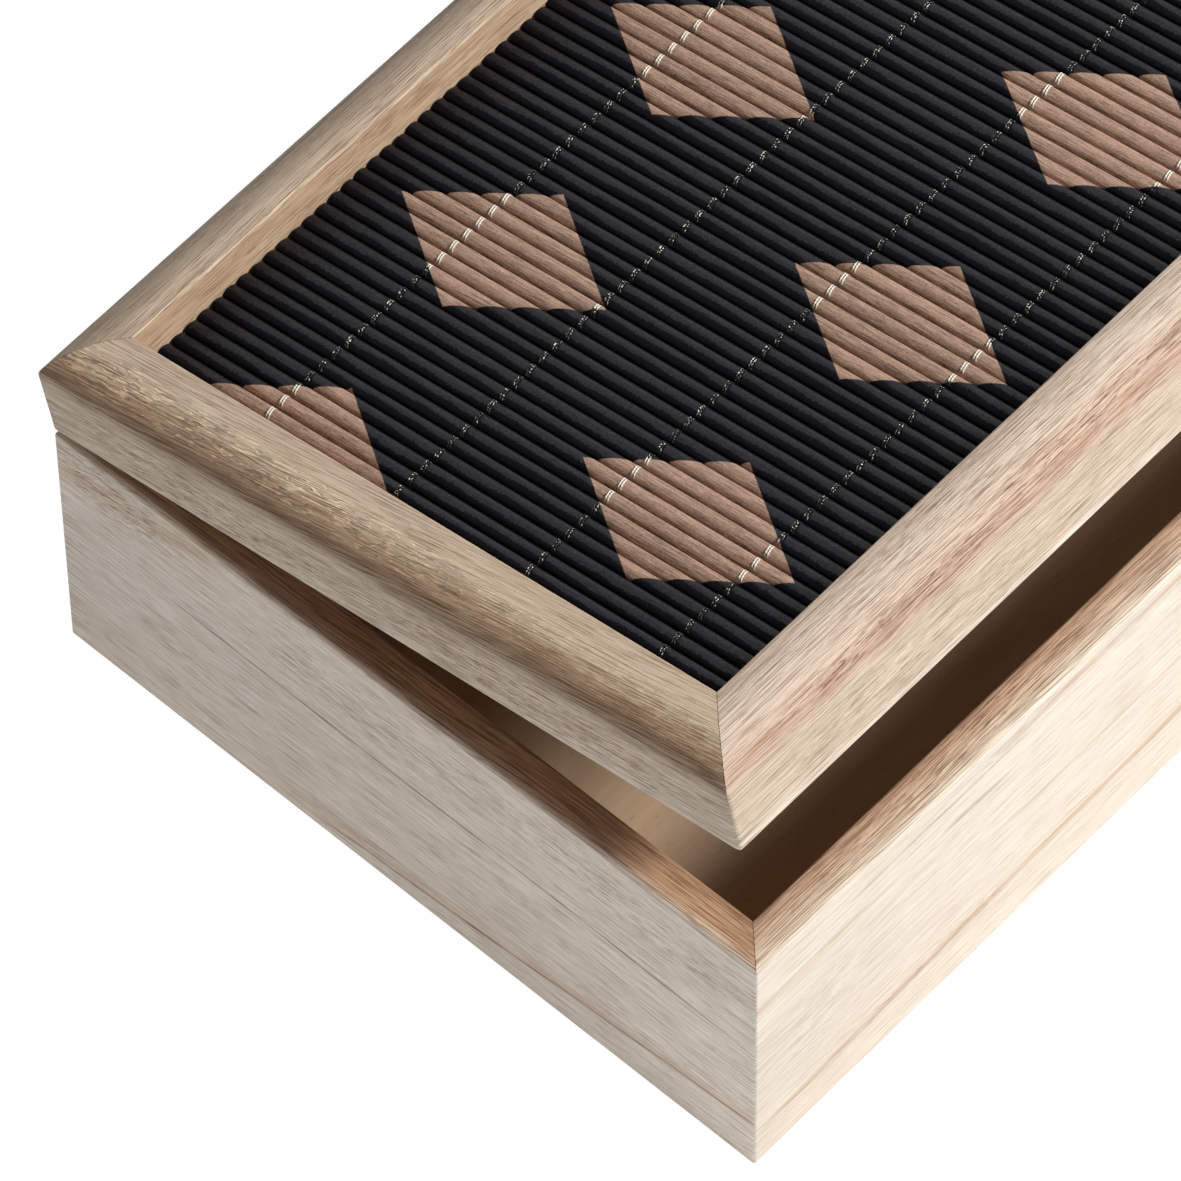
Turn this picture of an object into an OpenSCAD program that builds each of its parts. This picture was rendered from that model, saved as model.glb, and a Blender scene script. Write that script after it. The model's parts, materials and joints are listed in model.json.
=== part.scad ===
// Hinged keepsake case of pale wood. Four mitred walls hold a bottom panel in a groove, and the lid
// is a mitred moulding round a stitched mat of bamboo slats. The lid is drawn ajar, as it stands.
// X runs along the case, the front is at -Y, the hinges are at +Y and Z is up. The origin is on the
// table under the middle of the case.

/* [Case] */
// Length of the case, end to end
case_l = 300; // [240:1:360]
// Depth of the case, front to back
case_w = 200; // [150:1:260]
// Height of the body without its lid
body_h = 79.5; // [50:0.5:120]
// Thickness of the walls, and of the lid rails under their rebate
wall_t = 9.3; // [7:0.1:12]
// Radius of the eased outer edges of the walls
ease_r = 1.5; // [0.5:0.1:2]
// Radius of the eased inner edge of the rim
rim_r = 0.8; // [0.3:0.1:1.5]
// Width of the glue line in each mitre
glue_line = 0.12; // [0.05:0.01:0.3]

/* [Bottom panel] */
// Thickness of the bottom panel
bottom_t = 3.5; // [2:0.5:6]
// Height of the bottom panel's underside above the table
bottom_lift = 5; // [3:0.5:12]
// Depth of the groove that the bottom panel slides into
groove_d = 4; // [2:0.5:5]
// Play between a panel's edge and the wood round it
panel_play = 0.3; // [0.1:0.1:0.6]

/* [Lid frame] */
// Height of the lid frame
lid_h = 25.4; // [23:0.2:34]
// Width of the lid frame, seen from above
rail_w = 15.8; // [14:0.2:24]
// Height at which the side of the moulding starts to round over
side_h = 17; // [13:0.5:18]
// Width of the rounded-over part of the moulding
crown_w = 11.8; // [8:0.2:12.5]
// Fullness of the round-over: 1 is a flat bevel, 2 an ellipse
crown_full = 1.37; // [1.1:0.01:2.4]
// Radius of the lid's lower outer edge
foot_r = 2; // [0.5:0.1:3]
// Radius of the inner edge of the lid frame, above the mat
lip_r = 0.6; // [0.3:0.1:1]

/* [Lid panel] */
// Thickness of the panel that backs the mat
lid_panel_t = 3; // [2:0.2:5]
// Depth of the mat's surface below the top of the lid frame
mat_recess = 8.6; // [5:0.1:9]

/* [Slat mat] */
// Distance from slat to slat, rounded so that whole slats fill the frame
slat_pitch = 4; // [3:0.1:7]
// Gap between two slats
slat_gap = 0.2; // [0.1:0.05:0.5]
// Thickness of a slat at its crown
slat_t = 1.8; // [1.2:0.1:3]
// Height of a slat's straight sides
slat_side = 0.8; // [0.4:0.1:1]
// Play between the mat and the lid frame
mat_play = 0.2; // [0.1:0.1:0.6]
// Distance from the front of the frame opening to the first stitched row
stitch_front = 22.5; // [10:0.5:40]
// Distance from the last stitched row to the back of the frame opening
stitch_back = 32.5; // [10:0.5:40]
// Thickness of the stitching thread
thread_d = 0.45; // [0.3:0.05:0.7]
// Gap between the two threads of a stitched row
thread_gap = 0.2; // [0.1:0.05:0.6]

/* [Hinges] */
// Length of a hinge along its pin
hinge_l = 30; // [26:1:40]
// Distance from the end of the case to the middle of a hinge
hinge_inset = 50; // [35:1:75]
// Height of a leaf, from the pin to its free edge
leaf_h = 11.5; // [10:0.5:12.5]
// Thickness of a leaf
leaf_t = 0.8; // [0.6:0.1:1.2]
// Diameter of the hinge pin
pin_d = 1.8; // [1.4:0.1:2.4]
// Radial running clearance of the pin
pin_play = 0.05; // [0.02:0.01:0.08]
// Number of knuckles of a hinge
knuckles = 5; // [3:2:7]
// Gap between two knuckles
knuckle_gap = 0.3; // [0.2:0.05:0.5]
// Distance between the two screws of a leaf
screw_span = 18; // [14:1:20]
// Distance from the pin to the screws
screw_drop = 6.8; // [6:0.1:7.5]
// Diameter of a screw's shank
screw_d = 2; // [1.6:0.1:2.2]
// Diameter of a screw's head
screw_head_d = 3.8; // [3.6:0.1:4.2]
// Length of a screw
screw_l = 7.5; // [6:0.5:7.5]

/* [Lid position] */
// Angle to which the lid is raised
lid_open = 12.1; // [0:0.1:100]
// Gap between the closed lid and the rim
lid_gap = 0.3; // [0.2:0.1:0.6]

/* [Hidden] */
pale_wood = [0.88, 0.80, 0.68];
tan_wood = [0.76, 0.64, 0.49];
ply_wood = [0.70, 0.58, 0.44];
black_print = [0.13, 0.13, 0.14];
black_thread = [0.08, 0.08, 0.09];
brass = [0.72, 0.58, 0.33];
steel = [0.62, 0.62, 0.63];
// Every cut runs this far past the faces that it opens
over = 1;
// Faces of an eased edge, of a round-over and of a slat's crown
edge_steps = 5;
crown_steps = 16;
slat_steps = 4;
// Facets of pins, bores and screws
round_fn = 48;
// Height of the panel and the mat above the lid's underside
mat_top = lid_h - mat_recess;
panel_top = mat_top - slat_t;
opening_l = case_l - 2 * rail_w;
opening_w = case_w - 2 * rail_w;
mat_l = opening_l - 2 * mat_play;
mat_w = opening_w - 2 * mat_play;
slat_count = floor(mat_l / slat_pitch);
slat_step = mat_l / slat_count;
slat_w = slat_step - slat_gap;
stitch_rows = 4;
thread_step = thread_d + thread_gap;
stitch_pitch = (opening_w - stitch_front - stitch_back) / (stitch_rows - 1);
// The pin stands clear of the wood by its knuckle and a little air
pin_r = pin_d / 2;
bore_r = pin_r + pin_play;
knuckle_r = bore_r + leaf_t;
knuckle_air = 0.15;
pin_back = knuckle_r + knuckle_air;
leaf_top = knuckle_r + knuckle_gap;
hinge_x = case_l / 2 - hinge_inset;
hinge_y = case_w / 2 + pin_back;
hinge_z = body_h + lid_gap / 2;
knuckle_step = hinge_l / knuckles;
leaf_corner_r = 1.5;
pin_head_rim = 0.45;
pin_head_r = pin_r + pin_head_rim;
pin_head_t = 0.5;
pin_head_air = 0.05;
screw_r = screw_d / 2;
screw_head_r = screw_head_d / 2;
screw_air = 0.03;
screw_tip = 1.6;
slot_w = 0.5;
slot_deep = 0.4;

// Points of an arc of radius r round c, from angle a0 to angle a1
function arc(c, r, a0, a1) = [
    for (i = [0:edge_steps])
        let (a = a0 + (a1 - a0) * i / edge_steps)
        c + r * [cos(a), sin(a)]
];

// Section of a wall: x runs inwards from the outer face, y is the height
function wall_section() = concat(
    arc([ease_r, ease_r], ease_r, 180, 270),
    [
        [wall_t, 0],
        [wall_t, bottom_lift],
        [wall_t - groove_d, bottom_lift],
        [wall_t - groove_d, bottom_lift + bottom_t],
        [wall_t, bottom_lift + bottom_t]
    ],
    arc([wall_t - rim_r, body_h - rim_r], rim_r, 0, 90),
    arc([ease_r, body_h - ease_r], ease_r, 90, 180)
);

// Round-over of the moulding, a quarter of a superellipse from the crown down to the side
function crown() = [
    for (i = [crown_steps:-1:0])
        let (a = 90 * i / crown_steps, p = 2 / crown_full)
        [crown_w * (1 - pow(cos(a), p)), side_h + (lid_h - side_h) * pow(sin(a), p)]
];

// Section of a lid rail: a leg as thick as the wall, a rebate for the panel and a moulded top
function rail_section() = concat(
    arc([foot_r, foot_r], foot_r, 180, 270),
    [
        [wall_t, 0],
        [wall_t, panel_top],
        [rail_w, panel_top]
    ],
    arc([rail_w - lip_r, lid_h - lip_r], lip_r, 0, 90),
    crown()
);

// Crown of a slat, from its right side over the top to its left side
function slat_crown(x) = [
    for (i = [0:slat_steps])
        let (a = 180 * i / slat_steps, c = cos(a))
        [
            x + slat_w / 2 * sign(c) * pow(abs(c), 0.8),
            slat_side + (slat_t - slat_side) * pow(sin(a), 0.8)
        ]
];

function slat_x(i) = -mat_l / 2 + slat_step * (i + 0.5);

// Upper edge of the whole mat from right to left, which the threads follow
function mat_crown() = [
    for (i = [slat_count - 1:-1:0])
        each slat_crown(slat_x(i))
];

// A bar along X with its outer face at y = -across / 2, mitred at both ends
module mitred_bar(run, across, section, deep, high) {
    cut = glue_line / sqrt(2);
    end = run / 2 - cut;
    in = deep + over;
    intersection() {
        translate([-run / 2, -across / 2, 0])
            rotate([90, 0, 90])
                linear_extrude(run)
                    polygon(section);
        translate([0, 0, -over])
            linear_extrude(high + 2 * over)
                polygon([
                    [-end - over, -across / 2 - over],
                    [end + over, -across / 2 - over],
                    [end - in, -across / 2 + in],
                    [-end + in, -across / 2 + in]
                ]);
    }
}

module wall(run, across) {
    mitred_bar(run, across, wall_section(), wall_t, body_h);
}

module rail(run, across) {
    mitred_bar(run, across, rail_section(), rail_w, lid_h);
}

// Lifts a child from the closed lid, whose underside is z = 0, to where the lid stands
module on_lid() {
    translate([0, hinge_y, hinge_z])
        rotate([-lid_open, 0, 0])
            translate([0, -hinge_y, body_h + lid_gap - hinge_z])
                children();
}

// Moves a child from the pin's middle to each hinge
module at_hinge(side) {
    translate([side * hinge_x, hinge_y, hinge_z])
        children();
}

module at_lid_hinge(side) {
    translate([side * hinge_x, hinge_y, hinge_z])
        rotate([-lid_open, 0, 0])
            mirror([0, 0, 1])
                children();
}

module at_screws() {
    for (side = [-1, 1])
        translate([side * screw_span / 2, leaf_t - pin_back, -screw_drop])
            rotate([90, 0, 0])
                children();
}

// A leaf hangs below the pin. It has every second knuckle, from the first one or the next
module leaf(first) {
    difference() {
        union() {
            translate([0, leaf_t - pin_back, 0])
                rotate([90, 0, 0])
                    linear_extrude(leaf_t)
                        polygon(concat(
                            arc([leaf_corner_r - hinge_l / 2, leaf_corner_r - leaf_h],
                                leaf_corner_r, 180, 270),
                            arc([hinge_l / 2 - leaf_corner_r, leaf_corner_r - leaf_h],
                                leaf_corner_r, 270, 360),
                            [[hinge_l / 2, -leaf_top], [-hinge_l / 2, -leaf_top]]
                        ));
            for (i = [first:2:knuckles - 1])
                knuckle(i);
        }
        for (i = [first:2:knuckles - 1])
            translate([-hinge_l / 2 + i * knuckle_step - over, 0, 0])
                rotate([0, 90, 0])
                    cylinder(h = knuckle_step + 2 * over, r = bore_r, $fn = round_fn);
        at_screws()
            cylinder(h = leaf_t, r1 = screw_head_r, r2 = screw_head_r - leaf_t, $fn = round_fn);
    }
}

module knuckle(i) {
    wide = knuckle_step - knuckle_gap;
    translate([-hinge_l / 2 + i * knuckle_step + knuckle_gap / 2, 0, 0]) {
        rotate([0, 90, 0])
            cylinder(h = wide, r = knuckle_r, $fn = round_fn);
        translate([0, -pin_back, -leaf_top])
            cube([wide, leaf_t, leaf_top]);
    }
}

module pin() {
    reach = hinge_l / 2 + pin_head_air;
    rotate([0, 90, 0])
        cylinder(h = 2 * reach, r = pin_r, center = true, $fn = round_fn);
    for (side = [-1, 1])
        translate([side * (reach + pin_head_t / 2), 0, 0])
            rotate([0, 90, 0])
                cylinder(h = pin_head_t, r = pin_head_r, center = true, $fn = round_fn);
}

// A countersunk screw: z = 0 is the leaf's outer face and +Z goes into the wood
module screw() {
    neck_r = screw_head_r - leaf_t;
    difference() {
        union() {
            cylinder(h = leaf_t, r1 = screw_head_r - screw_air, r2 = neck_r - screw_air,
                $fn = round_fn);
            cylinder(h = screw_l - screw_tip, r = screw_r, $fn = round_fn);
            translate([0, 0, screw_l - screw_tip])
                cylinder(h = screw_tip, r1 = screw_r, r2 = screw_r / 5, $fn = round_fn);
        }
        translate([0, 0, slot_deep / 2 - over / 2])
            cube([2 * screw_head_r + over, slot_w, slot_deep + over], center = true);
    }
}

module pilot_holes() {
    at_screws()
        cylinder(h = screw_l + screw_air, r = screw_r + screw_air, $fn = round_fn);
}

module front_wall() {
    color(pale_wood)
        wall(case_l, case_w);
}

module back_wall() {
    color(pale_wood)
        difference() {
            rotate([0, 0, 180])
                wall(case_l, case_w);
            for (side = [-1, 1])
                at_hinge(side)
                    pilot_holes();
        }
}

module left_wall() {
    color(pale_wood)
        rotate([0, 0, -90])
            wall(case_w, case_l);
}

module right_wall() {
    color(pale_wood)
        rotate([0, 0, 90])
            wall(case_w, case_l);
}

module bottom_panel() {
    inset = wall_t - groove_d + panel_play;
    color(ply_wood)
        translate([0, 0, bottom_lift + bottom_t / 2])
            cube([case_l - 2 * inset, case_w - 2 * inset, bottom_t], center = true);
}

module lid_front_rail() {
    color(tan_wood)
        on_lid()
            rail(case_l, case_w);
}

module lid_back_rail() {
    color(tan_wood)
        difference() {
            on_lid()
                rotate([0, 0, 180])
                    rail(case_l, case_w);
            for (side = [-1, 1])
                at_lid_hinge(side)
                    pilot_holes();
        }
}

module lid_left_rail() {
    color(tan_wood)
        on_lid()
            rotate([0, 0, -90])
                rail(case_w, case_l);
}

module lid_right_rail() {
    color(tan_wood)
        on_lid()
            rotate([0, 0, 90])
                rail(case_w, case_l);
}

module lid_panel() {
    inset = wall_t + panel_play;
    color(ply_wood)
        on_lid()
            translate([0, 0, panel_top - lid_panel_t / 2])
                cube([case_l - 2 * inset, case_w - 2 * inset, lid_panel_t], center = true);
}

module bamboo_slats() {
    color(black_print)
        on_lid()
            for (i = [0:slat_count - 1])
                translate([0, mat_w / 2, panel_top])
                    rotate([90, 0, 0])
                        linear_extrude(mat_w)
                            polygon(concat(
                                [
                                    [slat_x(i) - slat_w / 2, 0],
                                    [slat_x(i) + slat_w / 2, 0]
                                ],
                                slat_crown(slat_x(i))
                            ));
}

// One row of stitching: its two threads ride over every slat and dip between them
module stitch_row(row) {
    under = mat_crown();
    above = [for (i = [len(under) - 1:-1:0]) under[i] + [0, thread_d]];
    row_y = -opening_w / 2 + stitch_front + stitch_pitch * row;
    color(black_thread)
        on_lid()
            for (side = [-1, 1])
                translate([0, row_y + side * thread_step / 2, panel_top])
                    rotate([90, 0, 0])
                        linear_extrude(thread_d, center = true)
                            polygon(concat(above, under));
}

module hinge_body_leaf(side) {
    color(brass)
        at_hinge(side)
            leaf(0);
}

module hinge_lid_leaf(side) {
    color(brass)
        at_lid_hinge(side)
            leaf(1);
}

module hinge_pin(side) {
    color(steel)
        at_hinge(side)
            pin();
}

module body_hinge_screws() {
    color(brass)
        for (side = [-1, 1])
            at_hinge(side)
                at_screws()
                    screw();
}

module lid_hinge_screws() {
    color(brass)
        for (side = [-1, 1])
            at_lid_hinge(side)
                at_screws()
                    screw();
}

front_wall();
back_wall();
left_wall();
right_wall();
bottom_panel();
lid_front_rail();
lid_back_rail();
lid_left_rail();
lid_right_rail();
lid_panel();
bamboo_slats();
stitch_row(0);  // stitch_row_1
stitch_row(1);  // stitch_row_2
stitch_row(2);  // stitch_row_3
stitch_row(3);  // stitch_row_4
hinge_body_leaf(-1);  // left_hinge_body_leaf
hinge_lid_leaf(-1);  // left_hinge_lid_leaf
hinge_pin(-1);  // left_hinge_pin
hinge_body_leaf(1);  // right_hinge_body_leaf
hinge_lid_leaf(1);  // right_hinge_lid_leaf
hinge_pin(1);  // right_hinge_pin
body_hinge_screws();
lid_hinge_screws();
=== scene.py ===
"""A hinged keepsake case of pale wood: mitred walls, a moulded lid frame, a stitched mat and brass hinges.

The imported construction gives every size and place. Wood, slats and thread are surfaces worked out here
round it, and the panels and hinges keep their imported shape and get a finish.
"""

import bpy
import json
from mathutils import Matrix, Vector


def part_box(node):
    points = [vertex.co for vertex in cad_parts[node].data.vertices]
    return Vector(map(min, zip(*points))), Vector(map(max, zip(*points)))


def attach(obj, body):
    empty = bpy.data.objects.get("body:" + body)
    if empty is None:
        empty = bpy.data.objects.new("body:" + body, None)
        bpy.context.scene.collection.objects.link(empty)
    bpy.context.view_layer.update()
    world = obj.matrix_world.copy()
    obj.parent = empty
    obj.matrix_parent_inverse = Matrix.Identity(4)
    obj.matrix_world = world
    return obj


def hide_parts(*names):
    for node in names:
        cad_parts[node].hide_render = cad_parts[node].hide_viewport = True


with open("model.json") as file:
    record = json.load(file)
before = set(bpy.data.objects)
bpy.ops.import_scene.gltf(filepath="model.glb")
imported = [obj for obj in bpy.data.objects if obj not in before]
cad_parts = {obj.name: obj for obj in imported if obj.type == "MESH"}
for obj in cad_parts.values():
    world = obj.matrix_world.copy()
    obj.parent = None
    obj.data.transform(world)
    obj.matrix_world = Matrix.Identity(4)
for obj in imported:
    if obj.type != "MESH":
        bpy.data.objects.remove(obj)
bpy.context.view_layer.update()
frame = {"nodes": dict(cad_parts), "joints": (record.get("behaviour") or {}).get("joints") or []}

import json
import math

import bmesh
import bpy
import numpy as np
from bpy.props import FloatProperty, FloatVectorProperty, IntProperty, PointerProperty
from mathutils import Matrix, Vector

bl_info = {
    "name": "Keepsake Case",
    "version": (1, 0, 0),
    "blender": (4, 5, 0),
    "location": "View3D > Sidebar > Keepsake Case",
    "description": "Builds a hinged wooden case whose lid holds a stitched slat mat",
    "category": "Add Mesh",
}

MM = 0.001
GRAIN_MAP = "grain"
WHITE = (1, 1, 1, 1)

# Where the Texture Coordinate node has its Object output
OBJECT_OUTPUT = 3

# The hinge and the lid's place
HINGE = frame["joints"][0]
PIN = np.array(HINGE["pos_m"])
LID_ANGLE = math.radians(-HINGE["range_deg"][0])
BODY_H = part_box("front_wall")[1].z
LID_BASE = 2 * PIN[2] - BODY_H


def vertices(node):
    """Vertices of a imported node, one row each."""
    mesh = frame["nodes"][node].data
    points = np.zeros(3 * len(mesh.vertices), np.float32)
    mesh.vertices.foreach_get("co", points)
    return points.reshape(-1, 3).astype(float)


def turned(points, angle):
    """Points turned about the hinge pin: y and z, counted from the pin, are rotated by the angle."""
    c, s = math.cos(angle), math.sin(angle)
    turn = np.array([[1, 0, 0], [0, c, -s], [0, s, c]])
    return PIN + (points - PIN) @ turn.T


def shut(node):
    """Vertices of a lid node with the lid shut, z counted from the lid's underside."""
    return turned(vertices(node), LID_ANGLE) - [0, 0, LID_BASE]


def raised(points):
    """Points of the shut lid, z counted from its underside, at the angle at which the lid stands."""
    return turned(points + [0, 0, LID_BASE], -LID_ANGLE)


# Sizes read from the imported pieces, in metres
CASE_L = 2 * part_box("right_wall")[1].x
CASE_W = -2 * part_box("front_wall")[0].y
WALL_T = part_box("front_wall")[1].y + CASE_W / 2
BOTTOM_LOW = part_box("bottom_panel")[0].z
BOTTOM_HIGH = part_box("bottom_panel")[1].z
BOTTOM_INSET = CASE_L / 2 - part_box("bottom_panel")[1].x
LID_H = shut("lid_front_rail")[:, 2].max()
RAIL_W = shut("lid_front_rail")[:, 1].max() + CASE_W / 2
PANEL_TOP = shut("lid_panel")[:, 2].max()
MAT = shut("bamboo_slats")
MAT_TOP = MAT[:, 2].max()
MAT_W = np.ptp(MAT[:, 1])
STITCH_ROWS = [f"stitch_row_{row}" for row in range(1, 5)]
OPENING_W = CASE_W - 2 * RAIL_W

# Each side's length, the case's size across it, and its quarter turns from the front
SIDES = {
    "front": (CASE_L, CASE_W, 0),
    "back": (CASE_L, CASE_W, 2),
    "left": (CASE_W, CASE_L, 3),
    "right": (CASE_W, CASE_L, 1),
}


def tone(red, green, blue):
    """A display colour from 0 to 255, as scene-linear red, green and blue."""
    share = np.array([red, green, blue]) / 255
    dark, bright = share / 12.92, ((share + 0.055) / 1.055) ** 2.4
    return tuple(float(c) for c in np.where(share < 0.04045, dark, bright))


def number(name, description, default, **limits):
    """A property that is a plain number."""
    return FloatProperty(name=name, description=description, default=default, **limits)


def length(name, description, default):
    """A length property, given in millimetres and held in metres."""
    return number(name, description, default * MM, unit="LENGTH", precision=5)


def angle(name, description, default):
    """An angle property, given in degrees and held in radians."""
    return number(name, description, math.radians(default), subtype="ANGLE")


def colour(name, description, *default):
    """A colour property, given as a display colour."""
    return FloatVectorProperty(
        name=name, description=description, default=tone(*default), subtype="COLOR", size=3, min=0, max=1
    )


class WallSizes(bpy.types.PropertyGroup):
    ease_r: length("Eased edge", "Radius of the eased outer edges of the walls", 1.5)
    rim_r: length("Rim edge", "Radius of the eased inner edge of the rim", 0.8)
    corner_r: length("Corner", "Radius of the sanded upright corners of the case", 0.7)
    glue_line: length("Glue line", "Width of the glue line in each mitre", 0.12)
    panel_play: length("Panel play", "Play between the bottom panel and its groove", 0.3)


class RailSizes(bpy.types.PropertyGroup):
    side_h: length("Side height", "Height at which the side of the moulding starts to round over", 17)
    crown_w: length("Crown width", "Width of the rounded-over part of the moulding", 12.6)
    crown_full: number("Crown fullness", "1 is a flat bevel and 2 an ellipse", 1.58, min=1, max=4)
    foot_r: length("Foot", "Radius of the lid's lower outer edge", 2)
    lip_r: length("Lip", "Radius of the frame's inner edge above the mat", 0.6)
    corner_r: length("Corner", "Radius of the sanded upright corners of the lid", 1.2)


class MatSizes(bpy.types.PropertyGroup):
    slat_pitch: length("Slat pitch", "Distance from slat to slat before it is rounded to whole slats", 4)
    slat_gap: length("Slat gap", "Gap between two slats", 0.2)
    slat_side: length("Slat side", "Height of a slat's straight sides", 0.6)
    slat_wander: length("Slat wander", "How far a slat bows or leans out of line", 0.16)
    end_wander: length("End wander", "How unevenly the slats are cut to length", 0.5)
    seed: IntProperty(name="Seed", description="Picks the variation from slat to slat", default=7)
    # The print
    lozenge_w: length("Lozenge width", "Width of a bare lozenge in the print, across the slats", 38)
    lozenge_l: length("Lozenge length", "Length of a bare lozenge in the print, along the slats", 60)
    lozenge_step: length("Lozenge step", "Distance between two lozenges of a row", 66)


class ThreadSizes(bpy.types.PropertyGroup):
    thread_d: length("Thread", "Thickness of the stitching thread", 0.45)
    thread_gap: length("Thread gap", "Gap between the two threads of a row", 0.2)
    twist: length("Twist", "Length of one turn of the thread's two plies", 1.5)
    slant: length("Slant", "How far a stitch leans to either side as it crosses a slat", 0.36)
    sink: length("Sink", "How far a stitch dips between two slats", 0.9)


class Tones(bpy.types.PropertyGroup):
    bare_slat: colour("Bare slat", "Colour of the bare slats", 170, 139, 120)
    print_black: colour("Print", "Colour of the print on the slats", 18, 16, 21)
    thread_pale: colour("Bare thread", "Colour of the thread on bare slats", 240, 234, 220)
    thread_dark: colour("Printed thread", "Colour of the thread on the print", 22, 21, 24)
    glue: colour("Glue line", "Colour in the mitres", 92, 66, 46)
    plywood: colour("Plywood", "Colour of the two panels", 178, 151, 123)
    brass: colour("Brass", "Colour of the hinge leaves and screws", 200, 168, 112)
    steel: colour("Steel", "Colour of the hinge pins", 190, 190, 192)
    floor: colour("Floor", "Colour of the floor", 245, 245, 245)


class StageSizes(bpy.types.PropertyGroup):
    azimuth: angle("Azimuth", "The camera's bearing round the case", -47.072)
    elevation: angle("Elevation", "The camera's height above the horizon", 57.343)
    roll: angle("Roll", "The camera's turn about its own axis", -0.836)
    focal_px: number("Focal length", "Focal length in pixels of the picture", 10895.0)
    corner_x: number("Corner X", "Where the near foot of the case lies, in pixels", 754.4)
    corner_y: number("Corner Y", "Where the near foot of the case lies, in pixels", 1166.1)
    depth_px: number("Depth in pixels", "Pixels that the case's depth takes there", 944.4)
    floor_size: length("Floor size", "Side of the square floor", 8000)
    light_distance: length("Light distance", "Distance of the lights from the case", 2000)
    key_size: length("Key size", "Side of the square key light", 380)
    key_bearing: angle("Key bearing", "The key light's bearing, as the camera's is counted", 43)
    key_height: angle("Key height", "The key light's height above the horizon", 44)
    key_strength: number("Key strength", "Light on a face that looks at the key light", 1.17)
    side_size: length("Side light size", "Side of the square side light", 1500)
    side_bearing: angle("Side light bearing", "The side light's bearing", -72)
    side_height: angle("Side light height", "The side light's height above the horizon", 9)
    side_strength: number("Side light strength", "Light on a face that looks at the side light", 0.36)
    fill_strength: number("Fill strength", "Strength of the light from all round", 0.14)


class KeepsakeCase(bpy.types.PropertyGroup):
    walls: PointerProperty(type=WallSizes)
    rails: PointerProperty(type=RailSizes)
    mat: PointerProperty(type=MatSizes)
    thread: PointerProperty(type=ThreadSizes)
    tones: PointerProperty(type=Tones)
    stage: PointerProperty(type=StageSizes)


# Shader graphs


class Wire:
    """A socket of a shader graph. Arithmetic on it adds Math nodes, so that a mask reads as a formula."""

    def __init__(self, graph, socket):
        self.graph = graph
        self.socket = socket

    def output(self, which):
        """Another output of the same node, by its number or name."""
        return Wire(self.graph, self.socket.node.outputs[which])

    def __add__(self, other):
        return self.graph.math("ADD", self, other)

    def __sub__(self, other):
        return self.graph.math("SUBTRACT", self, other)

    def __rsub__(self, other):
        return self.graph.math("SUBTRACT", other, self)

    def __mul__(self, other):
        return self.graph.math("MULTIPLY", self, other)

    def __truediv__(self, other):
        return self.graph.math("DIVIDE", self, other)

    def __abs__(self):
        return self.graph.math("ABSOLUTE", self)

    __radd__ = __add__
    __rmul__ = __mul__


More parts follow.
